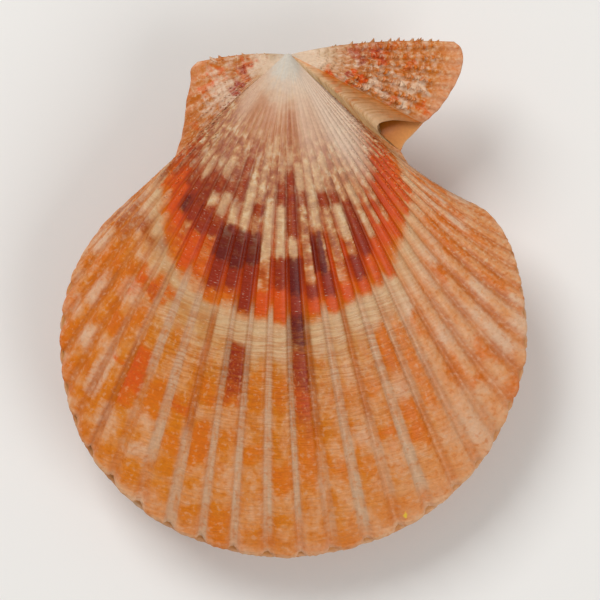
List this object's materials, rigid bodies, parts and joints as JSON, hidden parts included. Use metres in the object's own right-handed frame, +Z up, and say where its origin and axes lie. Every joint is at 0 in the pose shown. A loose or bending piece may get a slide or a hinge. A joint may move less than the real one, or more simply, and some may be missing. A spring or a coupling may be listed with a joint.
{
  "type": "scallop shell",
  "caption": "Closed pair of ribbed scallop valves with unequal ears and a byssal notch, orange with dark red and purple rays, lying flat.",
  "frame": {"origin": "middle of the shell's outline on the surface that it lies on", "axes": "+Z up, away from the surface; +Y from the fan's edge towards the umbo and hinge; +X towards the front ear with the byssal notch"},
  "size_m": [0.0562, 0.0618, 0.0235],
  "materials": {
    "right_valve": "satin, ribbed and finely growth-lined",
    "left_valve": "satin, ribbed and finely growth-lined",
    "ligament": "matt, dark brown"
  },
  "bodies": {
    "root": {"right_valve": "right_valve", "left_valve": "left_valve", "ligament": "ligament"}
  },
  "joints": []
}
